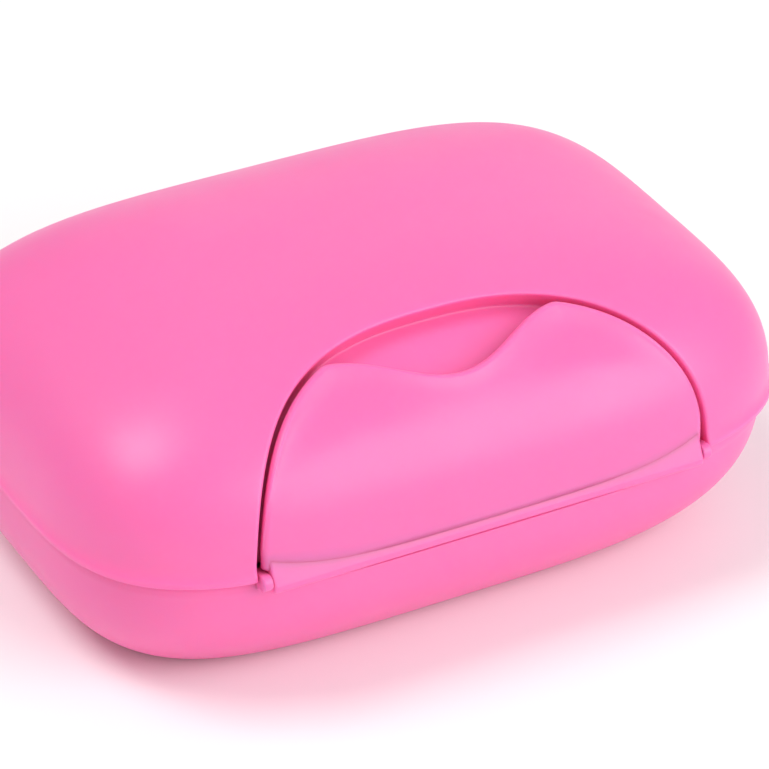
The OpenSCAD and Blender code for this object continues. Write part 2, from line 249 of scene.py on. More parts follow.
def plastic(name, light, deep, roughness, subsurface):
    """Moulded plastic: two near colours mixed by cloudy noise, uneven gloss and a fine skin."""
    material, nodes_, links, shader = new_material(name)
    coords = nodes_.new("ShaderNodeTexCoord")
    cloud = noise(nodes_, links, coords, 28, 3)
    mix = nodes_.new("ShaderNodeMix")
    mix.data_type = "RGBA"
    links.new(ranged(nodes_, links, cloud.outputs["Fac"], 0.3, 0.7, 0, 1), mix.inputs["Factor"])
    feed(mix, A=(*deep, 1), B=(*light, 1))
    links.new(mix.outputs["Result"], shader.inputs["Base Color"])
    gloss = noise(nodes_, links, coords, 90, 5, 0.6)
    links.new(ranged(nodes_, links, gloss.outputs["Fac"], 0.3, 0.7, roughness - .04, roughness + .05),
              shader.inputs["Roughness"])
    normal = None
    for scale, detail, strength, distance in ((2600, 2, 0.06, 0.00004), (60, 1, 0.12, 0.0002)):
        bump = nodes_.new("ShaderNodeBump")
        feed(bump, Strength=strength, Distance=distance)
        links.new(noise(nodes_, links, coords, scale, detail).outputs["Fac"], bump.inputs["Height"])
        if normal:
            links.new(normal, bump.inputs["Normal"])
        normal = bump.outputs["Normal"]
    links.new(normal, shader.inputs["Normal"])
    feed(shader, Subsurface_Weight=subsurface, Subsurface_Radius=(0.006, 0.0012, 0.002),
         Subsurface_Scale=1.0, IOR=1.49)
    return material


pink = plastic("pink_plastic", (1.0, 0.158, 0.43), (1.0, 0.15, 0.415), 0.38, 0.4)
white_plastic = plastic("white_plastic", (0.9, 0.86, 0.88), (0.86, 0.82, 0.84), 0.45, 0.1)

# %% Steel pins and silicone seal
steel, steel_nodes, steel_links, steel_shader = new_material("drawn_steel")
feed(steel_shader, Metallic=1.0, Base_Color=(0.62, 0.62, 0.64, 1))
steel_coords = steel_nodes.new("ShaderNodeTexCoord")
stretch = steel_nodes.new("ShaderNodeMapping")
feed(stretch, Scale=(40, 3000, 3000))      # drawn along X, so its lines run that way
steel_links.new(steel_coords.outputs["Object"], stretch.inputs["Vector"])
draw = steel_nodes.new("ShaderNodeTexNoise")
feed(draw, Scale=1.0, Detail=4)
steel_links.new(stretch.outputs["Vector"], draw.inputs["Vector"])
steel_links.new(ranged(steel_nodes, steel_links, draw.outputs["Fac"], .3, .7, .22, .38),
                steel_shader.inputs["Roughness"])
silicone = plastic("silicone", (0.84, 0.84, 0.83), (0.80, 0.80, 0.79), 0.5, 0.35)
for name in ("hinge_pin_left", "hinge_pin_right"):
    nodes[name].data.materials.clear()
    nodes[name].data.materials.append(steel)
print("finishes:", pink.name, white_plastic.name, steel.name, silicone.name)

# %% [markdown]
# ## Shapes that follow a rule
# The bowl of the base, the seal and the drain tray are each one rule with a few sizes: a superellipse
# that is stacked, swept or filled. Node trees hold those rules, with the sizes as named inputs, so a
# wider tray or one more slot is one number. Each tree is run once and its result kept as a plain mesh.

# %% Helpers for node trees
def node_tree(name, sizes):
    """A tree with a named input for every size and one for the material."""
    group = bpy.data.node_groups.new(name, "GeometryNodeTree")
    face = group.interface
    face.new_socket("Geometry", in_out="INPUT", socket_type="NodeSocketGeometry")
    face.new_socket("Geometry", in_out="OUTPUT", socket_type="NodeSocketGeometry")
    for key, value in sizes.items():
        kind = "NodeSocketInt" if isinstance(value, int) else "NodeSocketFloat"
        face.new_socket(key, in_out="INPUT", socket_type=kind)
    face.new_socket("Material", in_out="INPUT", socket_type="NodeSocketMaterial")
    return group, group.nodes.new("NodeGroupInput").outputs


def put(group, kind, wires=(), **settings):
    """One node with its settings; its inputs as (name or number, value, socket or other node)."""
    node = group.nodes.new(kind)
    for key, value in settings.items():
        setattr(node, key, value)
    for key, value in wires:
        if isinstance(value, bpy.types.Node):
            value = value.outputs[0]
        if isinstance(value, bpy.types.NodeSocket):
            group.links.new(value, node.inputs[key])
        else:
            node.inputs[key].default_value = value
    return node


def calc(group, operation, a, b=0.0):
    """One step of arithmetic."""
    return put(group, "ShaderNodeMath", ((0, a), (1, b)), operation=operation).outputs[0]


def shrink(group, share, power):
    """The share left of a half axis, as nodes: (1 - share ^ power) ^ (1 / power)."""
    rest_of = calc(group, "SUBTRACT", 1.0, calc(group, "POWER", share, power))
    return calc(group, "POWER", calc(group, "MAXIMUM", rest_of, 0.0), calc(group, "DIVIDE", 1.0, power))


fine_count = 1440                   # points of an outline before it is spaced evenly


def outline_curve(group, a, b, power, points):
    """A closed superellipse of evenly spaced points that starts at the front's middle."""
    circle = put(group, "GeometryNodeCurvePrimitiveCircle", (("Resolution", fine_count),), mode="RADIUS")
    index = put(group, "GeometryNodeInputIndex").outputs[0]
    turn = calc(group, "MULTIPLY_ADD", index, 2 * math.pi / fine_count)
    turn.node.inputs[2].default_value = -math.pi / 2
    half = calc(group, "DIVIDE", 2.0, power)
    axis = []
    for operation, size in (("COSINE", a), ("SINE", b)):
        wave = calc(group, operation, turn)
        bulge = calc(group, "POWER", calc(group, "ABSOLUTE", wave), half)
        signed = calc(group, "MULTIPLY", calc(group, "SIGN", wave), bulge)
        axis.append(calc(group, "MULTIPLY", signed, size))
    place = put(group, "ShaderNodeCombineXYZ", (("X", axis[0]), ("Y", axis[1])))
    moved = put(group, "GeometryNodeSetPosition",
                (("Geometry", circle), ("Position", place)))
    even = put(group, "GeometryNodeResampleCurve", (("Curve", moved), ("Count", points)))
    return even.outputs[0]


def shift(group, geometry, axis, amount):
    """A geometry moved along one axis."""
    by = put(group, "ShaderNodeCombineXYZ", ((axis, amount),))
    return put(group, "GeometryNodeSetPosition",
               (("Geometry", geometry), ("Offset", by))).outputs[0]


def soft_box(group, width, height, radius, count):
    """A rectangle with rounded corners, as a curve."""
    box = put(group, "GeometryNodeCurvePrimitiveQuadrilateral", (("Width", width), ("Height", height)))
    return put(group, "GeometryNodeFilletCurve", (("Curve", box), ("Count", count),
               ("Radius", radius)), mode="POLY").outputs[0]


def edging(group, path, middle_z, width, height, radius):
    """A soft box swept along a flat path, with its middle at this height."""
    raised = shift(group, path, "Z", middle_z)
    upright = put(group, "GeometryNodeSetCurveNormal", (("Curve", raised),), mode="Z_UP")
    section = soft_box(group, width, height, radius, 4)
    return put(group, "GeometryNodeCurveToMesh",
               (("Curve", upright), ("Profile Curve", section))).outputs[0]


def close_tree(group, geometry, inputs):
    """Every tree ends alike: real meshes only, in the material that came in."""
    real = put(group, "GeometryNodeRealizeInstances", (("Geometry", geometry),))
    dressed = put(group, "GeometryNodeSetMaterial",
                  (("Geometry", real), ("Material", inputs["Material"])))
    out = group.nodes.new("NodeGroupOutput")
    group.links.new(dressed.outputs[0], out.inputs[0])


def grow(group, sizes, material):
    """Runs a tree once with these sizes and gives its result as a plain mesh."""
    holder = bpy.data.objects.new(group.name, bpy.data.meshes.new(group.name))
    bpy.context.scene.collection.objects.link(holder)
    rule = holder.modifiers.new("rule", "NODES")
    rule.node_group = group
    for item in group.interface.items_tree:
        if item.in_out == "INPUT" and item.name in sizes:
            rule[item.identifier] = sizes[item.name]
        if item.in_out == "INPUT" and item.name == "Material":
            rule[item.identifier] = material
    mesh = bpy.data.meshes.new_from_object(holder.evaluated_get(bpy.context.evaluated_depsgraph_get()))
    bpy.data.objects.remove(holder)
    mesh.name = group.name
    print(f"{group.name}: {len(mesh.vertices)} points from {len(sizes)} sizes")
    return mesh

# %% [markdown]
# ## The lid
# The lid's skin is one grid with a hole at the front. The hole is filled by a patch whose inner edge
# is the arch of the recess, so the mesh's lines follow the arch and its edge can be rounded evenly. A
# boolean cut would leave slivers along the arch that show in soft light. The recess's wall leans
# back to a floor that is the same pebble, drawn in by 4 mm at the front and 3 mm at the top.

# %% The arch of the recess
def arch_line(wider):
    """The arch as x and angle, from its left foot to its right foot, wider by some millimetres."""
    w = arch_w + wider
    x = -w * np.cos(np.linspace(0, math.pi, 600))
    rise = np.sqrt(np.clip(1 - (np.abs(x) / w) ** arch_power, 0, 1))
    return np.stack([x, (arch_top + 2 * wider) * rise], -1)


foot_angle = math.degrees(math.asin((part_gap / lid_h) ** (lid_powers[1] / 2)))
rim_heights = part_gap + np.array([0, .02, .06, .12, .2, .3, .42, .65, .9, 1.1, 1.3, 1.55, 1.85,
                                   2.2, 2.6, 3.1])
rim_angles = np.degrees(np.arcsin((rim_heights / lid_h) ** (lid_powers[1] / 2)))
patch_top, patch_rows = 76, 46      # the patch ends at this angle, this many rows over the rim's
lid_angles = np.concatenate([rim_angles, np.linspace(rim_angles[-1] + 1.2, patch_top, patch_rows),
                             np.linspace(78, 89.2, 10)])
last_row = len(rim_angles) + patch_rows - 1
turns = even_turns(288)
lid_rows = [lid_point(turns, lid_h * math.sin(math.radians(a)) ** (2 / lid_powers[1])) for a in lid_angles]
hole_half_w = 44
in_hole = (np.abs(lid_rows[0][:, 0]) < hole_half_w) & (lid_rows[0][:, 1] < 0)
columns = np.where(in_hole)[0]
columns = columns[np.argsort(lid_rows[0][columns, 0])]
print("columns in the hole:", len(columns), "of", len(turns), "rows:", len(lid_rows))

# %% The skin round the hole, and the patch that carries the recess
n = len(turns)
grid = np.concatenate(lid_rows)
quads = []
for j in range(len(lid_rows) - 1):
    for i in range(n):
        k = (i + 1) % n
        if j < last_row and in_hole[i] and in_hole[k]:
            continue
        quads.append([j * n + i, j * n + k, (j + 1) * n + k, (j + 1) * n + i])
crown = fan(lid_rows[-1], [0, 0, base_h + lid_h])

left, right = columns[0], columns[-1]
border = [(left, j) for j in range(last_row)] + [(i, last_row) for i in columns]
border += [(right, j) for j in range(last_row - 1, -1, -1)]
hole = np.array([[lid_rows[j][i][0], lid_angles[j]] for i, j in border])
hole_at = np.array([lid_rows[j][i] for i, j in border])
shares = run(hole_at)
shares /= shares[-1]


def on_skin(line):
    """The skin's points along a line of x and angle."""
    return skin(line[:, 0], line[:, 1])


def arch_at(wider):
    """The arch as x and angle, at the same shares of its length as the border of the hole."""
    line = arch_line(wider)
    line = line[line[:, 1] >= foot_angle * 0.5]
    step = run(on_skin(line))
    step /= step[-1]
    out = np.stack([np.interp(shares, step, line[:, 0]), np.interp(shares, step, line[:, 1])], -1)
    out[[0, -1], 1] = foot_angle
    return out


edge_r = 0.55
inner_line = arch_at(edge_r)
patch = [on_skin((1 - t) * inner_line + t * hole) for t in np.linspace(0, 1, 15) ** 1.4]
patch[-1] = hole_at

# %% The recess: rounded edge, leaning wall and floor
lean = np.array([0, 0.5, -0.866])   # the way the wall runs, back and down
foot_round = 0.5                    # rounding where the wall meets the floor
floor_l, floor_w, floor_h = half_l - recess_front, half_w - recess_front, lid_h - recess_top
corner = on_skin(arch_at(0.0))


def floor_axes(height):
    """Half axes of the recess's floor form at these heights over the parting plane."""
    return floor_l * rest(height / floor_h, lid_powers[0]), floor_w * rest(height / floor_h, lid_powers[1])


def floor_inside(p):
    """Above 1 where a point lies outside the recess's floor form."""
    height = p[..., 2] - base_h
    a, b = floor_axes(height)
    across = (np.abs(p[..., 0]) / np.maximum(a, .01)) ** plan_power
    return np.where(height > floor_h, 2, across + (np.abs(p[..., 1]) / np.maximum(b, .01)) ** plan_power)


dense = on_skin(arch_line(0.0)[3:-3])
near, far = np.zeros(len(dense)), np.full(len(dense), 30.0)
for _ in range(40):
    middle = (near + far) / 2
    outside = floor_inside(dense + lean * middle[:, None]) > 1
    near, far = np.where(outside, middle, near), np.where(outside, far, middle)
foot_line = dense + lean * near[:, None]
keep = foot_line[:, 2] > base_h + part_gap
foot_line = foot_line[keep]
for end in (0, -1):                 # the wall's foot is carried straight down to the rim
    foot_line = np.insert(foot_line, 0 if end == 0 else len(foot_line), foot_line[end], axis=0)
    foot_line[end, 2] = base_h + part_gap
    foot_line[end, 1] = -floor_w * rest(np.abs(foot_line[end, 0]) / floor_l, plan_power)
wall_foot = resample(foot_line, shares)
down = wall_foot - corner
down /= np.linalg.norm(down, axis=1)[:, None]
wall_top = corner + edge_r * down
rounded = bend(patch[0], corner, wall_top, 4)


def floor_of(line):
    """The floor's point above or below each point of a line, by its x and height."""
    height = np.clip(line[:, 2] - base_h, part_gap, floor_h - .001)
    a, b = floor_axes(height)
    return np.stack([line[:, 0], -b * rest(np.abs(line[:, 0]) / a, plan_power), line[:, 2]], -1)


lid_z = base_h + part_gap           # the lid's underside
hub = np.stack([wall_foot[:, 0] * 0.5, np.zeros(len(wall_foot)), np.full(len(wall_foot), lid_z)], -1)
floor_rows = []
for t in np.linspace(0, 1, 22)[1:]:
    row = wall_foot * (1 - t) + hub * t
    row[:, 2] = lid_z + (wall_foot[:, 2] - lid_z) * (1 - t) ** 0.9
    floor_rows.append(floor_of(row))
inwards = floor_rows[0] - wall_foot
inset = foot_round * inwards / np.linalg.norm(inwards, axis=1)[:, None]
wall_low = wall_foot - foot_round * down
wall_rows = [wall_top] + [wall_top * (1 - t) + wall_low * t for t in (0.5, 1)]
recess = rounded + wall_rows + bend(wall_low, wall_foot, wall_foot + inset, 3)
recess += [wall_foot + inset] + floor_rows[1:]
deepest = float(np.linalg.norm(wall_foot - corner, axis=1).max())
print("recess rows:", len(recess), "deepest wall", round(deepest, 2))

# %% [markdown]
# The underside of the rim starts from the skin's lowest loop, which dips in where the recess opens at
# the front. Every point of that loop gets its own line inwards, over the sealing flange and up the
# inside of the lid. Where such a line passes behind the recess it is pushed in, as a moulding of even
# thickness is.

# %% The rim's underside and the lid's inside
front_loop = [patch[-1 - k][0] for k in range(len(patch))] + [r[0] for r in recess]
front_loop += [p for p in floor_rows[-1][1:-1]]
front_loop += [r[-1] for r in recess[::-1]] + [patch[k][-1] for k in range(len(patch))]
rest_loop = [lid_rows[0][(right + k) % n] for k in range(1, (left - right) % n)]
loop = np.array(front_loop + rest_loop)
loop[:, 2] = lid_z
loop_turns = turn_of(loop[:, 0], loop[:, 1], half_l, half_w)
front, half = len(front_loop), len(front_loop) // 2     # lines inwards never cross one another
loop_turns[:half] = np.maximum.accumulate(loop_turns[:half])
loop_turns[half:front] = np.minimum.accumulate(loop_turns[half:front][::-1])[::-1]


def inside_point(turn, height):
    """Inner skin of the lid, pushed in behind the recess."""
    plain = lid_point(turn, height, wall, wall, 0)
    front_in, top_in = recess_front + recess_wall, recess_top + recess_wall
    pushed = lid_point(turn, height * (lid_h - top_in) / (lid_h - wall), front_in, top_in, 0)
    share = np.clip(height / (lid_h - wall), 0, 1) ** (lid_powers[1] / 2)
    angle = np.degrees(np.arcsin(share))
    member = 1 - (np.abs(plain[:, 0]) / (arch_w + 2.2)) ** arch_power - (angle / (arch_top + 5)) ** 2
    member = np.where(plain[:, 1] < 0, np.clip(member * 7, 0, 1), 0)
    member = (member * member * (3 - 2 * member))[:, None]
    return plain * (1 - member) + pushed * member


lip_x, lip_y = plan(loop_turns)
lip = np.stack([(half_l - flange_w) * lip_x, (half_w - flange_w) * lip_y, loop[:, 2]], -1)
under_rim = [loop, loop * 0.5 + lip * 0.5, lip * 0.94 + loop * 0.06]
under_rim[2][:, 2] = loop[:, 2]
lip_top = lip + [0, 0, 1.0]
shoulder = inside_point(loop_turns, np.full(len(loop), part_gap + 2.0))
inside = bend(under_rim[2], lip, lip_top, 3) + [lip_top]
inside += bend(lip_top, lip_top + [0, 0, 0.8], lip_top * 0.6 + shoulder * 0.4 + [0, 0, 0.3], 2)
for a in np.concatenate([np.linspace(7, 78, 40), np.linspace(80, 88.8, 6)]):
    height = (lid_h - wall) * math.sin(math.radians(a)) ** (2 / lid_powers[1])
    if height > part_gap + 2.3:
        inside.append(inside_point(loop_turns, np.full(len(loop), height)))
ceiling = fan(inside[-1], [0, 0, base_h + lid_h - wall])


# %% Eyes and hinge knuckles
hinge_x, lid_knuckle_l, base_knuckle_l, knuckle_gap = 24, 8, 5, 0.2
knuckle_r, hinge_bore = 2.2, 1.05
blind_end = 0.4                     # thickness of the plastic that closes a blind eye


def eye(ring, x0, x1, axis, bore, blind=0):
    """A loft of one outline along X with rounded ends and a bore; blind closes the end on that side."""
    ring, axis = np.array(ring), np.array(axis)
    away = ring - axis
    hole = axis + bore * away / np.linalg.norm(away, axis=1)[:, None]

    def at(x, yz, size=1.0):
        return np.column_stack([np.full(len(yz), x), axis + (yz - axis) * size])

    rows = [at(x0, ring, .93), at(x0 + .06, ring, .98), at(x0 + .2, ring), at(x1 - .2, ring),
            at(x1 - .06, ring, .98), at(x1, ring, .93)]
    ends = {-1: (x0, rows[0]), 1: (x1, rows[-1])}
    tube = {side: at(ends[side][0] - side * (blind_end if side == blind else 0), hole) for side in (-1, 1)}
    parts = [sheet(rows, closed=True), sheet([tube[-1], tube[1]], closed=True)]
    for side in (-1, 1):
        if side == blind:
            parts += [fan(ends[side][1], [ends[side][0], *axis])]
            parts += [fan(tube[side], [tube[side][0, 0], *axis])]
        else:
            parts.append(sheet([ends[side][1], tube[side]], closed=True))
    return parts


def knuckle(x0, x1, a, b, wall_z, up):
    """A hinge knuckle with the web that carries it, out of the wall of an outline a by b."""
    wall_y = b * rest(max(abs(x0), abs(x1)) / a, plan_power) - wall / 2
    start = math.atan2(up, 0.35)
    ring = [(hinge_y + knuckle_r * math.cos(t), hinge_z + knuckle_r * math.sin(t))
            for t in np.linspace(start, start - up * 1.35 * math.pi, 40)]
    ring += [(wall_y, wall_z), (wall_y, wall_z + up * 3.2)]
    return eye(ring, x0, x1, (hinge_y, hinge_z), hinge_bore)


lid_knuckles = []
for side in (-1, 1):
    middle = side * hinge_x
    lid_knuckles += knuckle(middle - lid_knuckle_l / 2, middle + lid_knuckle_l / 2, half_l, half_w, lid_z, 1)
moulding("lid", [(grid, np.array(quads)), crown, sheet(patch), sheet([patch[0]] + recess),
                 sheet(under_rim + inside, closed=True), ceiling] + lid_knuckles,
         pink, "lid", "lid_shell")

# %% [markdown]
# ## The base
# The base is a bowl with a flat bottom and a broad flange at the rim. Its rows run from the middle of
# the bottom up the outside, over the rim and down the inside. The two skins of the bowl follow one rule,
# so a node tree gives their rows. At the front the rim's corner gives way to a round groove in which
# the latch's bead turns, so the rows bend round that groove there.

# %% The bowl's rule as a node tree
corner_depth = 2.4                  # where the rim's outer corner begins
bowl_sizes = {"Columns": 289, "Rows": 34, "Half length": base_l / 1000, "Half width": base_w / 1000,
              "Plan power": plan_power, "Front power": base_powers[0], "Side power": base_powers[1],
              "Full depth": base_depth / 1000, "Top depth": corner_depth / 1000,
              "Bottom depth": (base_h - foot_r) / 1000, "Parting plane": base_h / 1000}
pebble, bowl_in = node_tree("pebble_bowl", bowl_sizes)
lattice = put(pebble, "GeometryNodeMeshGrid",
              (("Vertices X", bowl_in["Columns"]), ("Vertices Y", bowl_in["Rows"])))
number = put(pebble, "GeometryNodeInputIndex").outputs[0]
column = calc(pebble, "FLOOR", calc(pebble, "DIVIDE", calc(pebble, "ADD", number, 0.5), bowl_in["Rows"]))
row_no = calc(pebble, "SUBTRACT", number, calc(pebble, "MULTIPLY", column, bowl_in["Rows"]))
along_rim = calc(pebble, "DIVIDE", column, calc(pebble, "SUBTRACT", bowl_in["Columns"], 1.0))
rim_curve = outline_curve(pebble, bowl_in["Half length"], bowl_in["Half width"], bowl_in["Plan power"],
                          fine_count)
on_rim = put(pebble, "GeometryNodeSampleCurve", (("Curves", rim_curve), ("Factor", along_rim)),
             mode="FACTOR")
rim_xy = put(pebble, "ShaderNodeSeparateXYZ", ((0, on_rim.outputs["Position"]),)).outputs
down_share = calc(pebble, "DIVIDE", row_no, calc(pebble, "SUBTRACT", bowl_in["Rows"], 1.0))
reach_down = calc(pebble, "SUBTRACT", bowl_in["Bottom depth"], bowl_in["Top depth"])
deep = calc(pebble, "ADD", bowl_in["Top depth"], calc(pebble, "MULTIPLY", down_share, reach_down))
share = calc(pebble, "DIVIDE", deep, bowl_in["Full depth"])
bowl_point = put(pebble, "ShaderNodeCombineXYZ", (
    ("X", calc(pebble, "MULTIPLY", rim_xy["X"], shrink(pebble, share, bowl_in["Front power"]))),
    ("Y", calc(pebble, "MULTIPLY", rim_xy["Y"], shrink(pebble, share, bowl_in["Side power"]))),
    ("Z", calc(pebble, "SUBTRACT", bowl_in["Parting plane"], deep))))
skin_mesh = put(pebble, "GeometryNodeSetPosition",
                (("Geometry", lattice.outputs["Mesh"]), ("Position", bowl_point)))
close_tree(pebble, skin_mesh.outputs[0], bowl_in)


def bowl_rows(**changed):
    """Rows of the bowl's skin from the tree, from the rim down, in millimetres."""
    sizes = dict(bowl_sizes, **{key.replace("_", " "): value for key, value in changed.items()})
    mesh = grow(pebble, sizes, pink)
    flat_list = np.empty(len(mesh.vertices) * 3)
    mesh.vertices.foreach_get("co", flat_list)
    bpy.data.meshes.remove(mesh)
    grid_points = flat_list.reshape(sizes["Columns"], sizes["Rows"], 3) * 1000
    return [grid_points[:-1, k] for k in range(sizes["Rows"])]


# %% The base's rows
outer_skin = bowl_rows()
inner_skin = bowl_rows(Rows=22, Half_length=(base_l - wall) / 1000, Half_width=(base_w - wall) / 1000,
                       Full_depth=(base_depth - wall) / 1000, Top_depth=0.0036,
                       Bottom_depth=(base_h - 4.5) / 1000)
top_share = corner_depth / base_depth
px = outer_skin[0][:, 0] / (base_l * rest(top_share, base_powers[0]))
py = outer_skin[0][:, 1] / (base_w * rest(top_share, base_powers[1]))
groove_r = 2.5                      # the round groove in which the latch's bead turns
lug_near, lug_far = 34.05, 35.3     # the two faces of each lug
in_groove = (np.abs(base_l * px) < lug_near) & (py < 0)


def base_side(depth, inset=0.0, full=base_depth):
    return np.stack([(base_l - inset) * rest(depth / full, base_powers[0]) * px,
                     (base_w - inset) * rest(depth / full, base_powers[1]) * py,
                     base_h - depth + 0 * px], -1)


bottom = base_side(base_h - foot_r)
rows = [bottom * [s, s, 0] for s in (0.3, 0.6, 0.85)]
for a in np.linspace(90, 0, 7)[:-1]:
    lift = foot_r * (1 - math.sin(math.radians(a)))
    row = base_side(base_h - lift)
    drawn = foot_r * (1 - math.cos(math.radians(a)))
    row[:, 0] -= drawn * px
    row[:, 1] -= drawn * py
    rows.append(row)
rows += outer_skin[::-1]

# %% The rim's corner, the bead's groove and the seal's groove
side_y = np.where(py < 0, base_w * py, -base_w)
cut_z = latch_z - np.sqrt(groove_r ** 2 - np.clip(side_y - latch_y, -2.4, 2.4) ** 2)
start_turn = np.arctan2(cut_z - latch_z, side_y - latch_y)
end_turn = -math.asin(0.4 / groove_r)
for t in np.linspace(0, 1, 15):
    turn = start_turn + (end_turn - start_turn) * t
    gy = latch_y + groove_r * np.cos(turn)
    gz = latch_z + groove_r * np.sin(turn)
    scale = gy / np.where(np.abs(py) > .05, py, 1)
    inset = base_w + np.where(in_groove, -np.abs(scale), 0)
    climb = t * 3                   # beside the groove the first third climbs, the rest runs inwards
    angle = min(1, max(0, climb - .6) / .4 * .5 * math.pi) if climb < 1 else .5 * math.pi
    plain_inset = 0.4 * (1 - math.cos(angle)) + max(0.0, (t - 1 / 3) * 1.5) * 2.3
    plain_z = base_h - 2.1 * (1 - climb) if climb < 1 else base_h
    inset = np.where(in_groove, inset, plain_inset)
    z = np.where(in_groove, gz, plain_z)
    rows.append(np.stack([(base_l - inset) * px, (base_w - inset) * py, z], -1))


def rim_row(inset, z):
    return np.stack([(half_l - inset) * px, (half_w - inset) * py, np.full(len(px), z)], -1)


# inset and height of each row: up to the seal's groove, through it, and over the flange's inner corner
flange = [(4.3, 0), (4.55, 0), (4.6, -.06), (4.6, -1.1), (4.7, -1.2), (6.1, -1.2), (6.2, -1.1),
          (6.2, -.06), (6.25, 0), (6.7, 0), (6.9, -.05), (7.0, -.25), (7.0, -2.2), (6.85, -2.5)]
for inset, z in flange:
    rows.append(rim_row(inset, base_h + z))
rows += inner_skin
floor_depth = base_h - wall - .15
for depth in np.linspace(base_h - 3.6, floor_depth, 5):
    rows.append(base_side(depth, wall, base_depth - wall))
flat = base_side(floor_depth, wall, base_depth - wall)
for s in (0.985, 0.96, 0.6, 0.3):
    row = flat * [s, s, 0]
    row[:, 2] = wall
    rows.append(row)
bowl = [sheet(rows, closed=True), fan(rows[0], [0, 0, 0]), fan(rows[-1], [0, 0, wall])]
print("base rows:", len(rows), "groove columns:", int(in_groove.sum()))

# %% [markdown]
# The small features of the base are the two lugs that hold the ends of the latch's pin, four hinge
# knuckles at the back and four posts for the drain tray. Each is a short loft that runs into the bowl.

# %% Lugs, knuckles and posts
lug_r, lug_root, latch_bore = 1.15, 1.9, 0.65
post_x, post_y, post_top = 31.5, 17, 7.5


def lug(side):
    """Ear beside one end of the bead, round in front and rooted in the rim; the left one is blind."""
    x0, x1 = sorted((side * lug_near, side * lug_far))
    back = lug_root - base_w * rest(lug_far / base_l, plan_power)
    ring = [(latch_y + lug_r * math.cos(t), latch_z + lug_r * math.sin(t))
            for t in np.linspace(math.radians(78), math.radians(285), 26)]
    ring += [(back, base_h - 2.5), (back, base_h), (back - .6, latch_z + .575)]
    return eye(ring, x0, x1, (latch_y, latch_z), latch_bore, -1 if side < 0 else 0)


def post(x, y):
    """Round post for the tray, with a small fillet at its foot."""
    a = np.linspace(0, 2 * math.pi, 33)[:-1]
    profile = [(3.6, 1.7), (3.0, 1.9), (2.6, 2.5), (2.5, 3.2), (2.5, post_top - .3), (2.4, post_top - .08),
               (2.2, post_top)]
    rows = [np.column_stack([x + r * np.cos(a), y + r * np.sin(a), np.full(32, z)]) for r, z in profile]
    return [sheet(rows, closed=True), fan(rows[0], [x, y, 1.7]), fan(rows[-1], [x, y, post_top])]


features = lug(-1) + lug(1)
for x in (-post_x, post_x):
    for y in (-post_y, post_y):
        features += post(x, y)
for side in (-1, 1):
    for end in (-1, 1):
        near_x = side * hinge_x + end * (lid_knuckle_l / 2 + knuckle_gap)
        x0, x1 = sorted((near_x, near_x + end * base_knuckle_l))
        features += knuckle(x0, x1, base_l, base_w, base_h - knuckle_gap, -1)
moulding("base", bowl + features, pink, "base", "base_shell")

# %% [markdown]
# ## The latch
# The latch is a thin shell that lies flush with the lid. Its top edge is a soft W: two lobes with a
# finger notch between them, and a lip that flares out a little so that a fingertip finds it. The grid
# runs outwards from the bottom edge to that outline, so the lines follow the edge all the way round.
# Below it is the straight bead: a flat slanting face on top and a round back that turns in the base.

# %% The latch's outline
latch_low, latch_foot = 0.5, 2.4    # angles of the bottom edge, over the bead and beside the lugs
latch_w, latch_top, latch_t = arch_w - 0.8, arch_top - 1.4, 1.6
lobe_x, notch_low, notch_high = 18.25, 45.6, 57.8      # middle of each lobe, and the notch as angles
lip_h, hollow_d = 0.5, 0.8          # how far the lip stands out and the hollows go in


def latch_edge(x):
    """Angle of the latch's top edge at x."""
    arch = latch_top * np.sqrt(np.clip(1 - (np.abs(x) / latch_w) ** arch_power, 0, 1))
    rise = (1 - np.cos(np.pi * np.clip(np.abs(x) / lobe_x, 0, 1))) / 2
    return np.minimum(arch, notch_low + (notch_high - notch_low) * rise)


around = 320
side_x = latch_w * 0.995
dense_x = -side_x * np.cos(np.linspace(0, math.pi, 3001))
outline = np.stack([dense_x, latch_edge(dense_x)], -1)
soften = 91                         # points over which the corners of the W are rounded
kernel = np.hanning(soften)
smooth = np.convolve(np.pad(outline[:, 1], soften // 2, mode="edge"), kernel / kernel.sum(), "valid")
outline[300:-300, 1] = smooth[300:-300]
side = np.linspace(latch_foot, outline[0, 1], 60)[:-1]
outline = np.concatenate([np.stack([-side_x + 0 * side, side], -1), outline,
                          np.stack([side_x + 0 * side, side[::-1]], -1)])
step = run(on_skin(outline))
even = np.linspace(0, step[-1], around)
outline = np.stack([np.interp(even, step, outline[:, 0]), np.interp(even, step, outline[:, 1])], -1)
hub_line = np.stack([outline[:, 0] * 0.72, np.full(around, latch_low)], -1)
reach = np.linalg.norm(on_skin(outline) - on_skin(hub_line), axis=1)


def latch_lift(x, share):
    """Height of the latch's face over the lid's form: a lip at the edge and hollows under the lobes."""
    lobe = np.exp(-((np.abs(x) - lobe_x) / 7) ** 2)
    return (lip_h * np.exp(-((1 - share) / 0.07) ** 2)
            - hollow_d * lobe * np.exp(-((0.84 - share) / 0.13) ** 2))


def latch_row(k, depth):
    """One row of the latch at share k of the way out, at a depth under its outer face."""
    at = hub_line * (1 - k)[:, None] + outline * k[:, None]
    height = np.maximum(latch_edge(at[:, 0]) - latch_low, .5)
    top_share = np.clip((at[:, 1] - latch_low) / height, 0, 1)
    thick = depth / latch_t
    drop = -latch_lift(at[:, 0], top_share) * (1 - thick) + latch_t * thick
    return skin(at[:, 0], at[:, 1], drop, drop, 0)


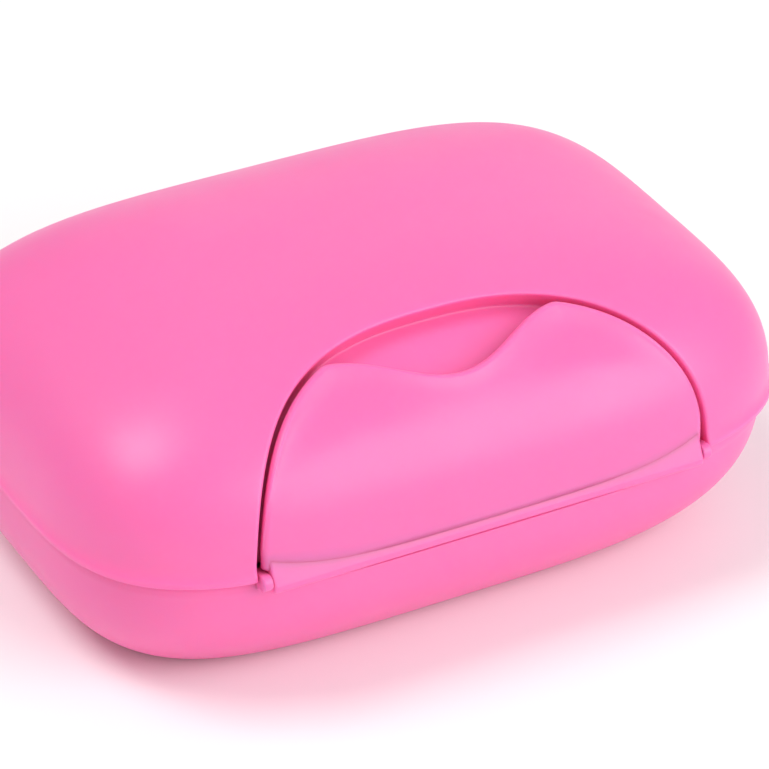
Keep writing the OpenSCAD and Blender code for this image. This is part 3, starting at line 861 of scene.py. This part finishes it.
edge_share = np.clip(latch_t / 2 / np.maximum(reach, 3), 0, .25)
ones = np.ones(around)
face = [latch_row(ones * s * (1 - edge_share), 0.0) for s in 1 - (1 - np.linspace(0, 1, 44)) ** 1.5]
lip_rows = []
for a in np.linspace(0, math.pi, 13)[1:-1]:
    lip_rows.append(latch_row(1 - edge_share * (1 - math.sin(a)), latch_t / 2 * (1 - math.cos(a))))
back = [latch_row(ones * s * (1 - edge_share), latch_t) for s in np.linspace(1, 0, 16)]
print("latch rows:", len(face + lip_rows + back), "outline length", round(float(step[-1]), 1), "mm")

# %% The bead along the bottom
bead_r, bead_face, bead_slope, bead_end = 1.8, 4.4, 60, 33.9
edge_at = np.array([-40.8, 21.6])   # the bead's front edge, as y and z
slope = np.array([math.cos(math.radians(bead_slope)), math.sin(math.radians(bead_slope))])
face_top = edge_at + bead_face * slope
round_back = [np.array([latch_y + bead_r * math.cos(a), latch_z + bead_r * math.sin(a)])
              for a in np.linspace(math.radians(219), math.radians(372), 30)]
section = [face_top + [0.9, 0.1], face_top + [0.25, 0.12]]
section += bend(face_top + [0.25, 0.12], face_top, face_top - 0.3 * slope, 3)
section += [face_top - t * slope for t in (0.3, 1.5, 3.0, 4.1)]
section += bend(edge_at + 0.15 * slope, edge_at, edge_at + [0, -0.15], 3)
section += [edge_at + [0, -0.15], edge_at + [0, -.5]] + round_back + [face_top + [1.4, -1.2]]
section = np.array(section)
heart = np.array([latch_y + .4, latch_z + .5])
bead_rows = [np.column_stack([np.full(len(section), x), heart + (section - heart) * s])
             for x, s in ((-bead_end, .82), (-33.86, .9), (-33.75, .96), (-33.5, 1), (-20, 1), (0, 1),
                          (20, 1), (33.5, 1), (33.75, .96), (33.86, .9), (bead_end, .82))]
bead = [sheet(bead_rows, closed=True), fan(bead_rows[0], [-bead_end, *heart]),
        fan(bead_rows[-1], [bead_end, *heart])]
loops = face + lip_rows + back
ends = [np.array([r[k] for r in loops]) for k in (0, -1)]
closed_ends = [fan(e, e.mean(0)) for e in ends]
moulding("latch", [sheet(loops + [face[0]])] + closed_ends + bead, pink, "latch", "latch_flap")

# %% [markdown]
# ## Seal, tray and pin
# The seal is a silicone cord of nearly square section that is pressed into a groove all round the rim,
# so it is swept along the rim's outline. The drain tray is a flat plate with nine round-ended slots
# and a low rim; its slots get shorter towards the ends, as the plate does. Both are plain patterns,
# which is what node trees are best at. The latch's steel pin stops short of the left lug's closed end.

# %% The seal, swept along the rim
seal_inset, seal_w, seal_low, seal_high = 5.4, 1.4, -1.2, 0.15   # middle line, width, heights at the rim
seal_sizes = {"Points": 288, "Half length": (half_l - seal_inset) / 1000,
              "Half width": (half_w - seal_inset) / 1000, "Plan power": plan_power,
              "Width": seal_w / 1000, "Height": (seal_high - seal_low) / 1000, "Corner": 0.0003,
              "Middle height": (base_h + (seal_high + seal_low) / 2) / 1000}
seal, seal_in = node_tree("rim_seal", seal_sizes)
seal_path = outline_curve(seal, seal_in["Half length"], seal_in["Half width"], seal_in["Plan power"],
                          seal_in["Points"])
swept = edging(seal, seal_path, seal_in["Middle height"], seal_in["Width"], seal_in["Height"],
               seal_in["Corner"])
close_tree(seal, swept, seal_in)
place_piece("rim_seal", grow(seal, seal_sizes, silicone), "base", "seal_ring", 2e-6, 35)

# %% The drain tray: outline and slots filled, thickened, and given a rim
tray_clear = 0.6                    # gap between the tray and the flange
tray_sizes = {"Points": 240, "Half length": (half_l - flange_w - tray_clear) / 1000,
              "Half width": (half_w - flange_w - tray_clear) / 1000, "Plan power": plan_power,
              "Underside": post_top / 1000, "Thickness": 0.0016, "Rim width": 0.0016, "Rim height": 0.0030,
              "Slots": 9, "Slot width": 0.003, "Slot length": 0.044, "Slot pitch": 0.009}
tray, tray_in = node_tree("drain_tray_rule", tray_sizes)
half_rim = calc(tray, "MULTIPLY", tray_in["Rim width"], 0.5)
plate_a = calc(tray, "SUBTRACT", tray_in["Half length"], half_rim)
plate_b = calc(tray, "SUBTRACT", tray_in["Half width"], half_rim)
plate_edge = outline_curve(tray, plate_a, plate_b, tray_in["Plan power"], tray_in["Points"])
first_x = calc(tray, "MULTIPLY", calc(tray, "MULTIPLY", calc(tray, "SUBTRACT", tray_in["Slots"], 1.0), -0.5),
               tray_in["Slot pitch"])
row_start = put(tray, "ShaderNodeCombineXYZ", (("X", first_x),))
row_step = put(tray, "ShaderNodeCombineXYZ", (("X", tray_in["Slot pitch"]),))
row_of_slots = put(tray, "GeometryNodeMeshLine",
                   (("Count", tray_in["Slots"]), ("Start Location", row_start),
                    ("Offset", row_step)), mode="OFFSET")
end_r = calc(tray, "MULTIPLY", tray_in["Slot width"], 0.499)
slot_soft = soft_box(tray, tray_in["Slot width"], tray_in["Slot length"], end_r, 10)
slots = put(tray, "GeometryNodeInstanceOnPoints",
            (("Points", row_of_slots), ("Instance", slot_soft)))
loose = put(tray, "GeometryNodeRealizeInstances", (("Geometry", slots),))
here = put(tray, "ShaderNodeSeparateXYZ", ((0, put(tray, "GeometryNodeInputPosition").outputs[0]),)).outputs
from_first = calc(tray, "SUBTRACT", here["X"], first_x)
step_no = calc(tray, "ROUND", calc(tray, "DIVIDE", from_first, tray_in["Slot pitch"]))
slot_x = calc(tray, "ADD", first_x, calc(tray, "MULTIPLY", step_no, tray_in["Slot pitch"]))
out_share = calc(tray, "DIVIDE", calc(tray, "ABSOLUTE", slot_x), tray_in["Half length"])
shorter = calc(tray, "SUBTRACT", 1.0, shrink(tray, out_share, 3.0))
pull = calc(tray, "MULTIPLY", calc(tray, "MULTIPLY", shorter, tray_in["Slot length"]), -0.5)
pull_in = calc(tray, "MULTIPLY", pull, calc(tray, "SIGN", here["Y"]))
fitted_slots = shift(tray, loose.outputs[0], "Y", pull_in)
cut_edges = put(tray, "GeometryNodeJoinGeometry")
tray.links.new(plate_edge, cut_edges.inputs[0])
tray.links.new(fitted_slots, cut_edges.inputs[0])
plate = put(tray, "GeometryNodeFillCurve", (("Curve", cut_edges),), mode="TRIANGLES")
thick_plate = put(tray, "GeometryNodeExtrudeMesh",
                  (("Mesh", plate), ("Individual", False), ("Offset", (0, 0, 1)),
                   ("Offset Scale", tray_in["Thickness"])), mode="FACES")
under = put(tray, "GeometryNodeFlipFaces", (("Mesh", plate),))
rim_edge = outline_curve(tray, plate_a, plate_b, tray_in["Plan power"], tray_in["Points"])
rim = edging(tray, rim_edge, calc(tray, "MULTIPLY", tray_in["Rim height"], 0.5), tray_in["Rim width"],
             tray_in["Rim height"], 0.0004)
whole = put(tray, "GeometryNodeJoinGeometry")
for part in (thick_plate.outputs["Mesh"], under.outputs[0], rim):
    tray.links.new(part, whole.inputs[0])
close_tree(tray, shift(tray, whole.outputs[0], "Z", tray_in["Underside"]), tray_in)
place_piece("slotted_tray", grow(tray, tray_sizes, white_plastic), "tray", "drain_tray", 2e-6, 35)

# %% The latch's pin
pin_left, pin_right = blind_end - lug_far, lug_far
circle_turns = np.linspace(0, 2 * math.pi, 33)[:-1]
pin_rows = [np.column_stack([np.full(32, x), latch_y + r * np.cos(circle_turns),
                             latch_z + r * np.sin(circle_turns)])
            for x, r in ((pin_left, .5), (pin_left + .05, .57), (pin_left + .15, .6),
                         (pin_right - .15, .6), (pin_right - .05, .57), (pin_right, .5))]
moulding("latch_pin_steel", [sheet(pin_rows, closed=True), fan(pin_rows[0], [pin_left, latch_y, latch_z]),
                             fan(pin_rows[-1], [pin_right, latch_y, latch_z])],
         steel, "base", "latch_pin")

# %% [markdown]
# ## The studio
# The case stands on a white sweep in broad, soft light: a key from the left and above, which leaves a
# soft spot on the lid's shoulder, and a large front panel that lightens the latch. The floor is white
# because its colour is, and the camera sees a plain white behind it. The lamps stay at a level at
# which the pink renders about as it is written.

# %% Floor and world
floor_mesh = bpy.data.meshes.new("floor")
floor_mesh.from_pydata([(-3, -3, 0), (3, -3, 0), (3, 3, 0), (-3, 3, 0)], [], [(0, 1, 2, 3)])
floor = bpy.data.objects.new("floor", floor_mesh)
bpy.context.scene.collection.objects.link(floor)
paper, *_, paper_shader = new_material("white_sweep")
feed(paper_shader, Base_Color=(0.9, 0.9, 0.9, 1), Roughness=0.8)
floor_mesh.materials.append(paper)

world = bpy.data.worlds.new("studio")
bpy.context.scene.world = world
world.use_nodes = True
wn, wl = world.node_tree.nodes, world.node_tree.links
sky = wn["Background"]
feed(sky, Color=(1, 1, 1, 1), Strength=0.5)
seen = wn.new("ShaderNodeBackground")
feed(seen, Color=(1, 1, 1, 1))
path = wn.new("ShaderNodeLightPath")
blend = wn.new("ShaderNodeMixShader")
wl.new(path.outputs["Is Camera Ray"], blend.inputs["Fac"])
wl.new(sky.outputs["Background"], blend.inputs[1])
wl.new(seen.outputs["Background"], blend.inputs[2])
wl.new(blend.outputs["Shader"], wn["World Output"].inputs["Surface"])


# %% Lamps
aim = (0, 0, 0.03)                  # every lamp points at the middle of the case
lamps = {"key": ((-0.506, 0.187, 0.987), 0.5, 6.0),         # place, size and power
         "front": ((0.475, -0.815, 0.596), 0.9, 8.6),
         "back": ((0.656, 0.82, 0.358), 0.9, 0.9)}
for name, (place, size, power) in lamps.items():
    data = bpy.data.lights.new(name, "AREA")
    data.shape = "SQUARE"
    data.size = size
    data.energy = power
    lamp = bpy.data.objects.new(name, data)
    lamp.location = place
    lamp.rotation_euler = (Vector(aim) - Vector(place)).to_track_quat("-Z", "Y").to_euler()
    bpy.context.scene.collection.objects.link(lamp)
print("lamps:", {name: values[2] for name, values in lamps.items()})

# %% Camera
camera_data = bpy.data.cameras.new("camera")
camera_data.sensor_width = 36
camera_data.lens = 201.9
camera_data.clip_start = 0.01
camera = bpy.data.objects.new("camera", camera_data)
bpy.context.scene.collection.objects.link(camera)
right_axis = Vector((0.872, -0.489, 0.032)).normalized()
forward = Vector((0.423, 0.719, -0.552)).normalized()
up_axis = right_axis.cross(forward).normalized()
right_axis = forward.cross(up_axis).normalized()
turn_matrix = Matrix((right_axis, up_axis, -forward)).transposed().to_4x4()
camera.matrix_world = Matrix.Translation(Vector((-0.2572, -0.4468, 0.3613))) @ turn_matrix
bpy.context.scene.camera = camera
bpy.context.scene.view_settings.view_transform = "Standard"
